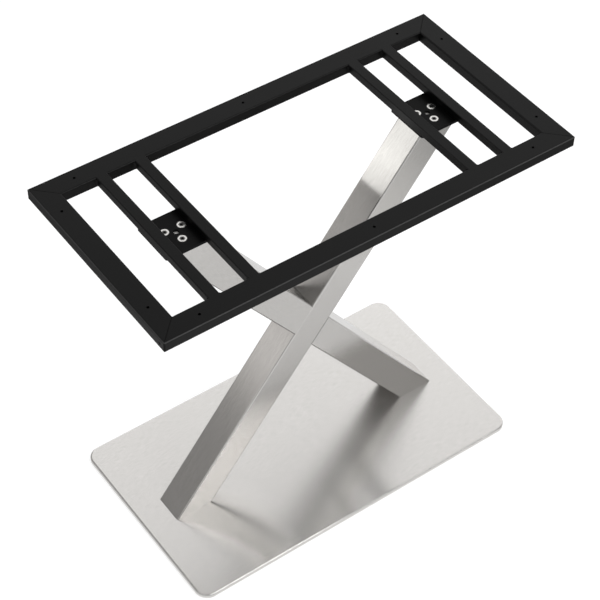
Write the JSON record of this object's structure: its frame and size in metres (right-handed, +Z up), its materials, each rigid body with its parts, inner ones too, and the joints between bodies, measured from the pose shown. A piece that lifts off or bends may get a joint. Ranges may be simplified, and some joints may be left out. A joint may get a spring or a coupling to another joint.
{
  "type": "table base",
  "caption": "Cross-legged table base: brushed steel square tubes crossed on a flat floor plate, carrying a flat black tube frame that a table top is screwed to.",
  "frame": {"origin": "middle of the floor plate's underside, on the floor", "axes": "+X along the longer side, from the long leg's foot towards its top; +Y towards the back, the side with two of each plate's three screws; +Z up"},
  "size_m": [0.8, 0.4, 0.71],
  "materials": {
    "brushed_steel": "brushed along the length",
    "black_coat": "fine powder coat, satin",
    "plain_steel": "as cut",
    "screw_steel": "plain turned, bright"
  },
  "bodies": {
    "root": {"floor_plate": "brushed_steel", "leg_long": "brushed_steel", "leg_upper_half": "brushed_steel", "leg_lower_half": "brushed_steel", "frame_front": "black_coat", "frame_back": "black_coat", "frame_left": "black_coat", "frame_right": "black_coat", "crossbar_left_outer": "black_coat", "crossbar_left_inner": "black_coat", "crossbar_right_inner": "black_coat", "crossbar_right_outer": "black_coat", "mounting_plate_left": "black_coat", "mounting_plate_right": "black_coat", "end_plate_top_left": "plain_steel", "end_plate_top_right": "plain_steel", "end_plate_foot_left": "plain_steel", "end_plate_foot_right": "plain_steel", "top_screws": "screw_steel", "foot_screws": "screw_steel"}
  },
  "joints": []
}
